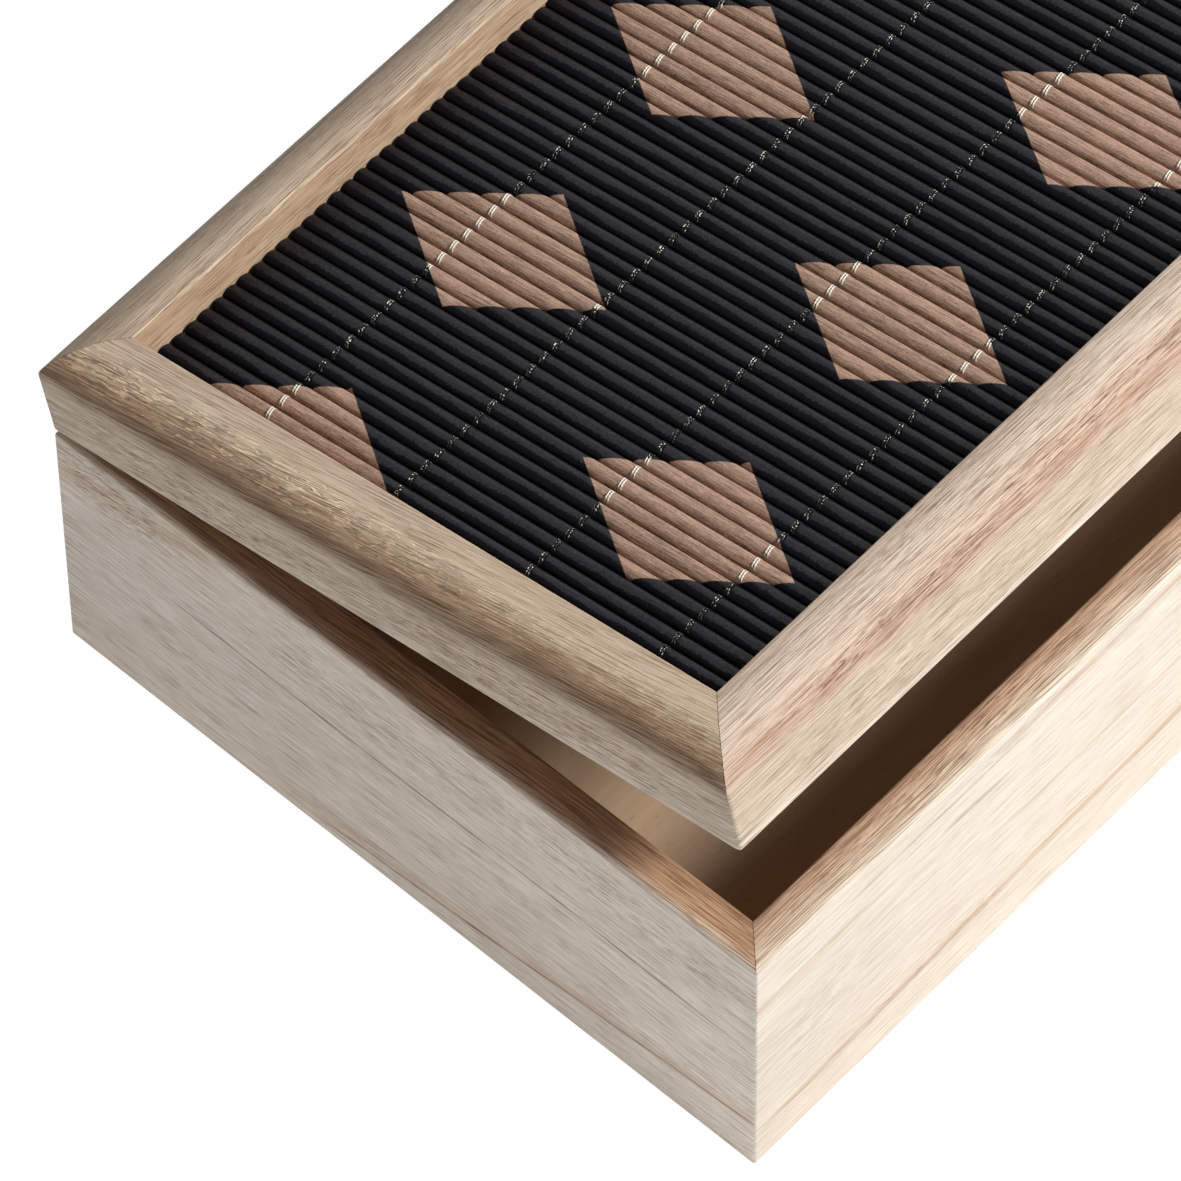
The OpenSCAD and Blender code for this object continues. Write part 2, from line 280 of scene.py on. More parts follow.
class Graph:
    """The nodes of a new material, or of a world that is handed in."""

    def __init__(self, name, owner=None):
        self.owner = owner or bpy.data.materials.new(name)
        self.owner.use_nodes = True
        self.tree = self.owner.node_tree
        self.tree.nodes.clear()

    def node(self, kind, settings=None, inputs=None, output=0):
        """Adds a node: its settings first, then the values or links of its sockets."""
        made = self.tree.nodes.new(kind)
        for key, value in (settings or {}).items():
            if key == "stops":
                self.set_stops(made.color_ramp, value)
            else:
                setattr(made, key, value)
        for key, value in (inputs or {}).items():
            if isinstance(value, Wire):
                self.tree.links.new(value.socket, made.inputs[key])
            else:
                made.inputs[key].default_value = value
        return Wire(self, made.outputs[output]) if made.outputs else made

    @staticmethod
    def set_stops(ramp, stops):
        """Gives a ramp its stops, each a place from 0 to 1 and a linear colour."""
        while len(ramp.elements) < len(stops):
            ramp.elements.new(1)
        for element, (place, shade) in zip(ramp.elements, stops):
            element.position = place
            element.color = (*shade, 1)

    def math(self, operation, *values):
        """A Math node on values or wires."""
        return self.node("ShaderNodeMath", {"operation": operation}, dict(enumerate(values)))

    def colour(self, shade):
        """A fixed linear colour."""
        made = self.node("ShaderNodeRGB")
        made.socket.default_value = (*shade, 1)
        return made

    def apart(self, place):
        """The first two coordinates of a place."""
        parts = self.node("ShaderNodeSeparateXYZ", {}, {0: place})
        return parts, parts.output(1)

    def grain_map(self):
        """Distances along and across the grain map, in metres."""
        return self.apart(self.node("ShaderNodeUVMap", {"uv_map": GRAIN_MAP}))

    def attribute(self, name):
        """A value that the mesh holds at each vertex."""
        return self.node("ShaderNodeAttribute", {"attribute_name": name}, output=2)

    def noise(self, vector, detail=2.0, roughness=0.5, distortion=0.0):
        """Smooth noise round 0 whose patches are about one unit of the vector across."""
        values = {"Vector": vector, "Scale": 1.0, "Detail": detail, "Roughness": roughness}
        return self.node("ShaderNodeTexNoise", {}, {**values, "Distortion": distortion}) - 0.5

    def noise_at(self, x, y, z, *character):
        """Noise at x, y, z, with its detail, roughness and distortion if they are given. A coordinate
        divided by a length makes the patches that long in its direction, and z picks the pattern."""
        return self.noise(self.node("ShaderNodeCombineXYZ", {}, {0: x, 1: y, 2: z}), *character)

    def step(self, value, low, high):
        """A smooth step from 0 at low to 1 at high."""
        smooth = {"interpolation_type": "SMOOTHSTEP"}
        return self.node("ShaderNodeMapRange", smooth, {0: value, 1: low, 2: high})

    def mix(self, factor, first, second, blend="MIX"):
        """One colour laid over another by a factor."""
        first, second = (value if isinstance(value, Wire) else (*value, 1) for value in (first, second))
        settings = {"data_type": "RGBA", "blend_type": blend}
        return self.node("ShaderNodeMix", settings, {0: factor, 6: first, 7: second}, output=2)

    def scaled(self, shade, factor):
        """A colour made lighter or darker by a factor."""
        return self.node("ShaderNodeVectorMath", {"operation": "SCALE"}, {0: shade, "Scale": factor})

    def bump(self, height, depth, strength=1.0):
        """A normal from a height of 0 to 1 that stands for a depth in metres."""
        return self.node("ShaderNodeBump", {}, {"Strength": strength, "Distance": depth, "Height": height})

    def surface(self, fixed, **varying):
        """Closes the graph with a Principled shader and returns the material."""
        names = {"base": "Base Color", "rough": "Roughness", "normal": "Normal", "coat": "Coat Weight"}
        linked = {names[key]: wire for key, wire in varying.items()}
        shader = self.node("ShaderNodeBsdfPrincipled", {}, {**fixed, **linked})
        self.node("ShaderNodeOutputMaterial", {}, {"Surface": shader})
        return self.owner


# Meshes


def arc(centre, radius, start, stop, steps=8):
    """Points on a circle: the centre plus the radius times cosine and sine of evenly spaced degrees."""
    bend = np.radians(np.linspace(start, stop, steps + 1))
    return np.array(centre) + radius * np.stack([np.cos(bend), np.sin(bend)], 1)


def with_supports(profile, reach=0.3 * MM):
    """A closed profile with a point close to both ends of each long side, so that smooth shading keeps
    its flats flat."""
    following = np.roll(profile, -1, axis=0)
    side = following - profile
    span = np.hypot(*side.T)[:, None]
    near = np.where(span > 4 * reach, profile + side / span * reach, np.nan)
    far = np.where(span > 4 * reach, following - side / span * reach, np.nan)
    points = np.stack([profile, near, far], 1).reshape(-1, 2)
    return points[~np.isnan(points[:, 0])]


def arc_lengths(profile):
    """Length along a closed profile at each point, with the whole length last."""
    steps = np.hypot(*(np.roll(profile, -1, axis=0) - profile).T)
    return np.concatenate([[0], np.cumsum(steps)])


def closed(values):
    """Values[shell, ring, side] with the first side repeated after the last, which closes the seam."""
    return np.concatenate([values, values[:, :, :1]], 2)


def shell_mesh(name, grid, uv, attributes=None, sharp=30):
    """A piece from grid[shell, ring, side]: quads join each ring to the next and close round the sides,
    and an n-gon caps each end. uv[shell, ring, side] has one side more, so that the seam keeps its own
    value."""
    shells, rings, sides = grid.shape[:3]
    index = np.arange(shells * rings * sides).reshape(shells, rings, sides)
    beside = np.roll(index, -1, axis=2)
    quads = np.stack([index[:, :-1], index[:, 1:], beside[:, 1:], beside[:, :-1]], -1).reshape(-1, 4)
    corners = np.stack([uv[:, :-1, :-1], uv[:, 1:, :-1], uv[:, 1:, 1:], uv[:, :-1, 1:]], 3).reshape(-1, 2)
    caps = np.concatenate([index[:, 0, ::-1], index[:, -1]])
    cap_corners = np.concatenate([uv[:, 0, -2::-1], uv[:, -1, :-1]]).reshape(-1, 2)
    mesh = bpy.data.meshes.new(name)
    mesh.from_pydata(grid.reshape(-1, 3).tolist(), [], quads.tolist() + caps.tolist())
    layer = mesh.uv_layers.new(name=GRAIN_MAP)
    layer.uv.foreach_set("vector", np.concatenate([corners, cap_corners]).astype(np.float32).ravel())
    for key, values in (attributes or {}).items():
        data = mesh.attributes.new(key, "FLOAT", "POINT").data
        values = np.broadcast_to(values, (shells, rings, sides)).astype(np.float32)
        data.foreach_set("value", values.ravel())
    work = bmesh.new()
    work.from_mesh(mesh)
    bmesh.ops.recalc_face_normals(work, faces=work.faces)
    work.to_mesh(mesh)
    work.free()
    mesh.shade_smooth()
    mesh.set_sharp_from_angle(angle=math.radians(sharp))
    piece = bpy.data.objects.new(name, mesh)
    bpy.context.scene.collection.objects.link(piece)
    return piece


def dress(piece, material):
    """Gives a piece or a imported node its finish."""
    piece.data.materials.clear()
    piece.data.materials.append(material)


def settle(piece, body, slot, material, *nodes):
    """Gives a new piece its body and its finish, and hides the nodes that it stands for."""
    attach(piece, body)
    dress(piece, material)
    if nodes:
        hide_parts(*nodes)


def quarter_turned(points, quarters):
    """Points turned by quarter turns about Z."""
    c, s = ((1, 0), (0, 1), (-1, 0), (0, -1))[quarters % 4]
    return points @ np.array([[c, s, 0], [-s, c, 0], [0, 0, 1]])


def mitred_bar(profile, run, across, corner_r, glue_line):
    """A profile carried along X with its outer face at y = -across / 2. A point that lies u inside the
    outer face ends u short of the corner, which makes the mitre. On the outer face the last columns
    follow a circle of the corner's radius up to the mitre, and this fades out over one radius
    inwards."""
    columns, support = 6, 0.4 * MM
    u, v = profile.T
    edge = np.clip(1 - u / corner_r, 0, 1)
    bend = np.radians(np.linspace(45, 90, columns))[:, None]
    short = u + corner_r * (math.cos(math.pi / 4) - np.cos(bend))
    back = edge * corner_r * (1 - np.cos(bend)) + (1 - edge) * short
    inward = edge * corner_r * (1 - np.sin(bend)) + (1 - edge) * u
    back = np.concatenate([back, back[-1:] + support])
    inward = np.concatenate([inward, inward[-1:]])
    gap = glue_line / math.sqrt(2) * (1 - edge)
    x = run / 2 - gap - back
    left = np.stack([-x, inward - across / 2, np.broadcast_to(v, x.shape)], -1)
    right = left * [-1, 1, 1]
    return np.concatenate([left, right[::-1]])[None]


def board(name, profile, side, glue_line, corner_r, place=None):
    """A wall or a rail: a mitred bar turned to its side of the case. Its grain map holds the distance
    along the bar and the length round the profile, from the inner edge of the top outwards."""
    run, across, quarters = side
    profile = with_supports(profile)
    grid = mitred_bar(profile, run, across, corner_r, glue_line)
    round_it = np.broadcast_to(arc_lengths(profile), (*grid.shape[:2], len(profile) + 1))
    points = quarter_turned(grid, quarters)
    uv = np.stack([closed(grid[..., 0]), round_it], -1)
    return shell_mesh(name, place(points) if place else points, uv)


def wall_profile(sizes):
    """Closed section of a wall, from the inner edge of the rim outwards. Edges are eased by quarter
    circles and the inner face has the groove of the bottom panel."""
    groove = BOTTOM_INSET - sizes.panel_play
    groove_low, groove_high = (groove, BOTTOM_LOW), (groove, BOTTOM_HIGH)
    return np.concatenate([
        arc((WALL_T - sizes.rim_r, BODY_H - sizes.rim_r), sizes.rim_r, 0, 90),
        arc((sizes.ease_r, BODY_H - sizes.ease_r), sizes.ease_r, 90, 180),
        arc((sizes.ease_r, sizes.ease_r), sizes.ease_r, 180, 270),
        [(WALL_T, 0), (WALL_T, BOTTOM_LOW), groove_low, groove_high, (WALL_T, BOTTOM_HIGH)],
    ])


def crown(sizes, inset=0.0, steps=36):
    """Round-over of the moulding: a quarter of a superellipse, whose outward and upward shares are the
    cosine and sine of an angle, both to the power of 2 over the fullness."""
    bend = np.radians(np.linspace(90, 0, steps + 1))
    exponent = 2 / sizes.crown_full
    u = sizes.crown_w - (sizes.crown_w - inset) * np.abs(np.cos(bend)) ** exponent
    v = sizes.side_h + (LID_H - inset - sizes.side_h) * np.abs(np.sin(bend)) ** exponent
    return np.stack([u, v], 1)


def rail_profile(sizes):
    """Closed section of a lid rail from its inner edge outwards: lip, flat, round-over, side, foot,
    rebate."""
    return np.concatenate([
        arc((RAIL_W - sizes.lip_r, LID_H - sizes.lip_r), sizes.lip_r, 0, 90),
        crown(sizes),
        arc((sizes.foot_r, sizes.foot_r), sizes.foot_r, 180, 270),
        [(WALL_T, 0), (WALL_T, PANEL_TOP), (RAIL_W, PANEL_TOP)],
    ])


def glue_slabs(name, profile, glue_line, place=None):
    """The glue in the four mitres: the profile, set back from the surface, filled along each diagonal.
    Its two faces lie half a glue line on either side of the diagonal."""
    u, v = profile.T
    half = glue_line / 2 / math.sqrt(2)
    slab = np.stack([
        np.stack([CASE_L / 2 - u + side * half, u - CASE_W / 2 + side * half, v], -1) for side in (-1, 1)
    ])
    grid = np.stack([slab * flip for flip in ([1, 1, 1], [-1, 1, 1], [1, -1, 1], [-1, -1, 1])])
    return shell_mesh(name, place(grid) if place else grid, closed(grid[..., [0, 2]]))


# Finishes

# What sets one board's wood apart. Places along and across its grain map are in millimetres, and a tone is
# a place across and the display colour there. Contrast, pores and ripple are strengths, rim adds to the
# contrast on the first 9 mm across, and slant is the slope of the lines. A streak runs from one place to
# another with its width, strength and colour. A patch of dark dashes has its middle, half size, slope and
# strength.
RIM_TONES = [
    (0, 160, 130, 107), (3, 191, 157, 129), (5, 206, 178, 152), (7, 213, 191, 167),
    (8.4, 211, 192, 169),
]
# Under the case and up its inner faces the tones turn a darker brown: painted shade inside the case
INNER_PAINTED_SHADE_TONES = [(88, 224, 209, 191), (92, 200, 176, 150), (110, 184, 152, 120), (180, 176, 142, 109)]
FACE_TONES = [(10.0, 228, 216, 201), (86, 225, 211, 194)]
# The left face turns lighter towards its bottom: painted light
LEFT_FACE_PAINTED_LIGHT_TONES = [(10.0, 221, 210, 197), (50, 225, 214, 201), (86, 235, 223, 209)]
# The left rim is darker and browner than the other rims: painted shade under the raised lid
LEFT_RIM_PAINTED_SHADE_TONES = [(0, 164, 128, 98), (4, 178, 140, 109), (7, 184, 148, 118), (8.6, 200, 178, 156)]
WALL_TONES = RIM_TONES + FACE_TONES + INNER_PAINTED_SHADE_TONES
TAN = (214, 178, 140)
BROWN = (150, 118, 94)
# Tint of the lid's shadow, painted on the left wall's rim
LID_SHADOW_TINT = (206, 176, 150)
PINKISH = (222, 200, 182)

BOARDS = {
    "front_wall": dict(
        tones=WALL_TONES,
        seed=1.0, contrast=0.47, rim=2.2, pores=0.25, slant=-0.01,
        streaks=[
            ((-160, 25), (-112, 24.5), 2.2, 0.5, TAN), ((-122, 16.8), (-62, 17), 0.8, 0.6, BROWN),
            ((-75, 14), (0, 12.5), 2.6, 0.5, TAN), ((-92, 25.5), (-68, 26.5), 1.4, 0.6, BROWN),
            ((-150, 76.5), (20, 67), 2.4, 0.6, TAN), ((-70, 47), (40, 45.5), 1.4, 0.4, TAN),
        ],
        patches=[
            ((-128, 50), (26, 20), 0.02, 0.25), ((-95, 72), (40, 5), -0.05, 0.35),
            ((-80, 4), (90, 5), 0.01, 0.55), ((-60, 14), (40, 3), 0.04, 0.35),
            ((80, 4), (90, 5), 0.0, 0.55),
        ],
    ),
    "left_wall": dict(
        tones=LEFT_RIM_PAINTED_SHADE_TONES + LEFT_FACE_PAINTED_LIGHT_TONES + INNER_PAINTED_SHADE_TONES,
        seed=2.0, contrast=0.75, rim=2.0, pores=0.7, slant=0.03,
        streaks=[
            ((-70, 41.0), (98, 42.6), 0.5, 1.0, (120, 96, 78)), ((104, 71), (-30, 85), 0.9, 0.8, BROWN),
            ((104, 70), (-40, 83), 3.6, 0.5, TAN), ((-104, 22), (-50, 12), 7.0, 0.5, TAN),
            # These two streaks darken the rim more and more towards the back: the lid's shadow, painted
            ((62, 3.5), (-110, 3.5), 9.0, 0.35, LID_SHADOW_TINT), ((16, 3.5), (-110, 3.5), 9.0, 0.5, LID_SHADOW_TINT),
        ],
        patches=[
            ((-84, 18), (24, 11), 0.26, 1.0), ((60, 22), (46, 12), 0.05, 0.55),
            ((-10, 26), (50, 14), 0.1, 0.5),
        ],
    ),
    "back_wall": dict(
        tones=WALL_TONES,
        seed=3.0, contrast=0.6, pores=0.7, slant=0.02,
        streaks=[((-150, 30), (110, 41), 2.2, 0.5, TAN), ((-60, 62), (150, 58), 0.6, 0.6, BROWN)],
        patches=[((70, 30), (60, 14), 0.05, 0.6)],
    ),
    "right_wall": dict(
        tones=WALL_TONES,
        seed=4.0, contrast=0.65, pores=0.8, slant=-0.03,
        streaks=[((-100, 52), (100, 47), 1.8, 0.5, TAN), ((-30, 24), (100, 27), 0.6, 0.6, BROWN)],
        patches=[((-50, 60), (46, 14), -0.06, 0.6)],
    ),
}


# What the pale and the dark grain, the pores and the patches' dashes make of the tone, by multiplying it
PALE_GRAIN = (1.17, 1.2, 1.23)
DARK_GRAIN = (0.58, 0.5, 0.44)
PORE = tone(156, 122, 96)
DASH = tone(162, 132, 108)


def wood(name, finish):
    """Bare sanded wood on a grain map, in millimetres. A ramp gives the tone round the section, and on
    some boards painted light and shade as well. Noise drawn out along the board gives bands, lines and
    fibre, which pick between pale and dark grain, and short dark dashes are the open pores. Streaks,
    patches of dashes and a rippled figure are laid over them, and on the left wall two streaks are the
    lid's painted shadow."""
    graph = Graph(name)
    seed, contrast = finish["seed"] * 10, finish["contrast"]
    along, across = (metres * (1 / MM) for metres in graph.grain_map())
    drawn = across + 2.4 * graph.noise_at(along / 70, across / 16, seed, 1.0)
    waver = 0.25 * graph.noise_at(along / 14, across / 2.0, seed + 1, 2.0)
    fine = drawn + along * finish["slant"] + waver
    broad = graph.noise_at(along / 90, drawn / 9, seed + 2, 1.0)
    bands = graph.noise_at(along / 60, drawn / 1.7, seed + 3, 2.0)
    lines = graph.noise_at(along / 40, fine / 0.45, seed + 4, 2.0, 0.6)
    fibre = graph.noise_at(along / 13, fine / 0.22, seed + 6, 1.0)
    cluster = graph.noise_at(along / 26, drawn / 8, seed + 8, 1.0)
    dash = graph.noise_at(along / 6, fine / 0.24, seed + 10, 1.0) + 0.4 * cluster
    pore = graph.step(dash, 0.1, 0.16) * finish["pores"]
    stops = finish["tones"]
    reach = stops[-1][0]
    stops = [(at / reach, tone(*shade)) for at, *shade in stops]
    ramp = graph.node("ShaderNodeValToRGB", {"stops": stops}, {0: (across + 0.5 * bands) / reach})
    crisp = contrast + finish.get("rim", 0.0) * graph.step(across, 9.5, 8.0)
    dark = graph.step((1.2 * lines + 2.3 * fibre + 0.3 * bands) * crisp, -0.3, 0.6)
    grain = graph.mix(dark, PALE_GRAIN, DARK_GRAIN)
    shade = graph.mix(1.0, graph.scaled(ramp, 1 + 0.12 * broad), grain, "MULTIPLY")
    for start, end, width, strength, tint in finish["streaks"]:
        mask = streak(graph, along, drawn, fine, start, end, width, seed)
        shade = graph.mix(mask * strength, shade, tone(*tint), "MULTIPLY")
    for middle, half, slope, strength in finish["patches"]:
        mask = patch(graph, along, drawn, middle, half, slope, seed)
        shade = graph.mix(mask * strength, shade, DASH, "MULTIPLY")
    shade = graph.mix(pore * 0.6, shade, PORE, "MULTIPLY")
    height = 0.5 + 1.2 * lines * contrast + 0.9 * fibre * contrast - 0.5 * pore
    if "ripple" in finish:
        ridge = ripple(graph, along, across, finish["ripple"], seed)
        shade = graph.scaled(shade, 1 + 0.55 * ridge)
        height = height + 0.9 * ridge
    fixed = {"Roughness": 0.62, "Specular IOR Level": 0.3}
    return graph.surface(fixed, base=shade, normal=graph.bump(height, depth=0.09 * MM))


def streak(graph, along, drawn, fine, start, end, width, seed):
    """Mask of a streak in the grain: 1 on the line from start to end, fading over its width and past
    its ends, and made up of strands."""
    rise = (end[1] - start[1]) / (end[0] - start[0])
    middle, half = (start[0] + end[0]) / 2, abs(end[0] - start[0]) / 2
    off = abs(drawn - (start[1] - rise * start[0]) - along * rise) / width
    level = fine - along * rise
    strands = 0.7 + 4.0 * graph.noise_at(along / 14, level / 0.45, seed + start[1], 3.0, 0.6)
    inside = graph.step(abs(along - middle), half + 2, half - 8)
    return graph.step(off, 1.0, 0.1) * inside * strands


def patch(graph, along, drawn, middle, half, slope, seed):
    """Mask of a patch of dark dashes: dashes on a slope, fading out from the middle over an ellipse."""
    dash = graph.noise_at(along / 5, (drawn + along * slope) / 0.36, seed + middle[0], 2.0, 0.6)
    far = squared((along - middle[0]) / half[0]) + squared((drawn - middle[1]) / half[1])
    return graph.step(dash, 0.03, 0.1) * graph.step(graph.math("SQRT", far), 1.2, 0.3)


def squared(value):
    """The square of a wire's value."""
    return value.graph.math("POWER", abs(value), 2.0)


def ripple(graph, along, across, strength, seed):
    """Height of a rippled figure on the round-over, stronger towards the back: thin wavy ridges, each
    with a hollow beside it. They follow the lines on which drawn-out noise is 0 and a little less than
    0."""
    wave = 0.8 * graph.noise_at(along / 3.5, across / 2.5, seed + 14, 1.0)
    figure = graph.noise_at(along / 7, (across + wave + along * 0.1) / 0.85, seed + 12, 1.0)
    zone = graph.step(across, 5.5, 8.5) * graph.step(across, 16.5, 13.0)
    ridges = graph.step(abs(figure), 0.045, 0.0) - 0.8 * graph.step(abs(figure + 0.075), 0.05, 0.0)
    return ridges * zone * (0.35 + 0.65 * graph.step(along, 60.0, -40.0)) * strength


# The rails' tones go over the flat, the round-over, the side and the faces out of sight. Over the wood's
# own
# tone they hold painted light and shade: a darker band at the shoulder, where the round-over turns down to
# the side, and a painted highlight on the foot, the lid's lower edge. On the left rail the upper part of
# the round-over is painted lighter as well.
FLAT_TONES = [(0, 200, 177, 153), (4, 214, 191, 166)]
HIDDEN_TONES = [(37, 208, 194, 176), (42, 192, 164, 136), (66, 194, 166, 137), (78, 190, 160, 131)]

RAILS = {
    "lid_front_rail": dict(
        tones=[
            (0, 198, 176, 156), (3, 209, 189, 169), (6, 210, 192, 172), (10, 211, 190, 170),
            (14, 206, 180, 160), (15.5, 196, 168, 147), (17, 192, 165, 147), (20, 203, 184, 163),
            (33, 203, 184, 162), (34.5, 220, 206, 188),
        ] + HIDDEN_TONES,
        seed=5.0, contrast=1.0, pores=0.6, slant=-0.008,
        streaks=[
            ((-150, 15.2), (160, 16.0), 2.8, 0.65, PINKISH),
            ((-60, 12.2), (150, 11.4), 2.0, 0.6, PINKISH),
        ],
        patches=[
            ((-112, 14.6), (26, 2.2), 0.0, 0.9), ((-78, 15.2), (20, 2.4), 0.0, 0.9),
            ((-30, 13.0), (50, 3.0), 0.0, 0.8), ((60, 14.5), (60, 3.0), 0.0, 0.8),
            ((-70, 5), (70, 6), 0.0, 0.45), ((-90, 27), (60, 8), 0.01, 0.45),
        ],
    ),
    "lid_left_rail": dict(
        tones=FLAT_TONES + [
            (7, 232, 208, 180), (10, 222, 195, 166), (13, 197, 165, 134), (15.5, 186, 155, 127),
            (17, 172, 147, 124), (19, 176, 159, 142), (22, 196, 179, 162), (33, 201, 185, 167),
            (34.5, 204, 190, 173),
        ] + HIDDEN_TONES,
        seed=6.0, contrast=1.9, rim=-1.2, pores=0.6, slant=0.07, ripple=1.0,
        streaks=[((100, 15.5), (-100, 16.5), 1.8, 0.5, BROWN)],
        patches=[
            ((40, 27), (66, 9), 0.07, 0.8), ((-50, 28), (60, 9), 0.09, 0.8),
            ((84, 12), (30, 5), 0.1, 0.6),
        ],
    ),
    "lid_back_rail": dict(
        tones=FLAT_TONES + [(12, 196, 174, 150), (16, 184, 158, 132), (20, 200, 181, 160)] + HIDDEN_TONES,
        seed=7.0, contrast=1.0, pores=0.9, slant=0.02, ripple=0.4,
        streaks=[((-150, 17), (90, 13), 1.5, 0.6, BROWN)],
        patches=[((-120, 12), (40, 8), 0.1, 0.7)],
    ),
    "lid_right_rail": dict(
        tones=FLAT_TONES + [(12, 194, 172, 148), (17, 176, 150, 126), (21, 198, 180, 160)] + HIDDEN_TONES,
        seed=8.0, contrast=1.0, pores=0.9, slant=-0.03, ripple=0.5,
        streaks=[((-100, 14), (100, 18), 1.4, 0.6, BROWN)],
        patches=[((30, 26), (60, 9), -0.04, 0.7)],
    ),
}


def plywood(name, shade, seed):
    """Smooth rotary-cut plywood on Object coordinates: wide watery bands, fine lines and small dark
    flecks."""
    graph = Graph(name)
    place = graph.apart(graph.node("ShaderNodeTexCoord", output=OBJECT_OUTPUT))
    along, across = (metres * (1 / MM) for metres in place)
    bands = graph.noise_at(along / 60, across / 14, seed, 3.0, 0.6, 0.6)
    lines = graph.noise_at(along / 40, across / 1.4, seed + 3, 3.0)
    flecks = graph.step(graph.noise_at(along / 3.0, across / 0.7, seed + 6, 1.0), 0.17, 0.26)
    banded = graph.scaled(graph.colour(shade), 1 + 0.5 * bands + 0.25 * lines)
    tinted = graph.mix(flecks * 0.3, banded, tone(150, 120, 98), "MULTIPLY")
    fixed = {"Roughness": 0.55, "Specular IOR Level": 0.35}
    return graph.surface(fixed, base=tinted, normal=graph.bump(0.5 + lines - flecks, depth=0.03 * MM))


def plain(name, shade, rough):
    """A dull filler such as glue, mottled a little."""
    graph = Graph(name)
    place = graph.node("ShaderNodeTexCoord", output=OBJECT_OUTPUT)
    mottle = graph.noise(graph.node("ShaderNodeMapping", {}, {0: place, "Scale": (400, 400, 400)}))
    return graph.surface({"Roughness": rough}, base=graph.scaled(graph.colour(shade), 1 + 0.5 * mottle))


def metal(name, shade, rough, seed):
    """Lightly brushed metal on Object coordinates: fine scratches run along X and dull patches raise
    the roughness."""
    graph = Graph(name)
    place = graph.node("ShaderNodeTexCoord", output=OBJECT_OUTPUT)
    brushed = {0: place, "Location": (seed, 0, 0), "Scale": (300, 9000, 9000)}
    dulled = {0: place, "Location": (0, seed, 0), "Scale": (180, 180, 180)}
    scratch = graph.noise(graph.node("ShaderNodeMapping", {}, brushed), 3.0, 0.6)
    dull = graph.noise(graph.node("ShaderNodeMapping", {}, dulled), 3.0)
    return graph.surface(
        {"Metallic": 1.0},
        base=graph.scaled(graph.colour(shade), 1 + 0.25 * dull + 0.15 * scratch),
        rough=rough + 0.25 * dull + 0.2 * scratch,
        normal=graph.bump(0.5 + scratch, depth=0.01 * MM, strength=0.5),
    )


def bare_mask(graph, sizes, along, across):
    """1 on the bare lozenges of the print, 0 on its black ground. Two rows of lozenges stand side by
    side, the second half a step along: a point is bare where its shares of the half width and half
    length add up to less than 1."""
    wobble = graph.noise_at(along * 900, across * 500, 3, 2.0) * (0.25 * MM)
    rows = []
    for side, shift in ((-1, 0.5), (1, 0.0)):
        middle = side * OPENING_W / 4
        moved = along + wobble + shift * sizes.lozenge_step
        sideways = graph.math("PINGPONG", moved, sizes.lozenge_step / 2)
        lengthways = abs(across - middle) / (sizes.lozenge_l / 2)
        rows.append(graph.step(sideways / (sizes.lozenge_w / 2) + lengthways, 1.008, 0.992))
    return graph.math("MAXIMUM", *rows)


def slat_finish(sizes, tones):
    """Split bamboo, part bare and part printed. The bare wood has fine fibres and a tone of its own on
    each slat. The print is black and lets the fibres through as relief, and a thin satin coat lies on
    the crowns."""
    graph = Graph("Bamboo slats")
    along, across = graph.grain_map()
    own = graph.attribute("slat_tone")
    crown_share = graph.attribute("crown_share")
    fibre = graph.noise_at(along / (0.2 * MM), across / (5 * MM), own * 40, 3.0, 0.7)
    flow = graph.noise_at(along / (0.8 * MM), across / (30 * MM), own * 60, 2.0)
    speck = graph.noise_at(along / (0.25 * MM), across / (0.6 * MM), own * 20, 2.0)
    crack = graph.noise_at(along / (0.5 * MM), across / (14 * MM), own * 80, 2.0)
    split = graph.step(crack, 0.17, 0.26)
    bare = bare_mask(graph, sizes, along, across)
    varied = 0.92 + 0.2 * own + 2.8 * fibre + 0.7 * flow + 1.0 * speck
    bare_shade = graph.scaled(graph.colour(tones.bare_slat), varied)
    bare_shade = graph.mix(split * 0.5, bare_shade, tone(120, 90, 74), "MULTIPLY")
    ink = graph.mix(split, tones.print_black, tone(26, 25, 27))
    height = 0.5 + 0.9 * fibre + 0.6 * flow - 0.5 * split
    waver = graph.noise_at(own * 30, across / (16 * MM), 5, 2.0) + 0.3 * fibre
    edge = crown_share + 1.0 * waver + 0.6 * speck + 0.3 * own
    on_crown = graph.step(edge, -0.25, -0.05) * graph.step(crown_share, 0.98, 0.9)
    return graph.surface(
        {"Specular IOR Level": 0.05, "Coat IOR": 1.32, "Coat Roughness": 0.35, "Roughness": 0.6},
        base=graph.mix(bare, graph.scaled(ink, 1 + 1.2 * speck), bare_shade),
        coat=on_crown * (0.78 + 1.6 * speck + 0.9 * fibre),
        normal=graph.bump(height, depth=0.06 * MM),
    )


def thread_finish(sizes, tones):
    """Twisted cotton: undyed where it crosses bare slats, and inked where the print covers it, with pale
    flecks on its crests. Where it dips between the slats the undyed thread is darker: painted shade."""
    graph = Graph("Stitching thread")
    along, across = graph.grain_map()
    bare = bare_mask(graph, sizes, along, across)
    crest = graph.attribute("crest")
    fuzz = graph.noise_at(along / (0.2 * MM), across / (0.12 * MM), 5, 2.0)
    fleck = graph.noise_at(along / (0.4 * MM), across / (0.35 * MM), 9, 1.0)
    inked = graph.mix(graph.step(fleck, 0.06, 0.14) * crest, tones.thread_dark, tones.thread_pale)
    # Where the thread dips between the slats it is painted darker: painted shade
    undyed = graph.mix(crest, tone(150, 122, 100), tones.thread_pale)
    shade = graph.scaled(graph.mix(bare, inked, undyed), 1 + 0.7 * fuzz)
    fixed = {"Roughness": 0.8, "Specular IOR Level": 0.25}
    return graph.surface(fixed, base=shade, normal=graph.bump(0.5 + fuzz, depth=0.05 * MM))


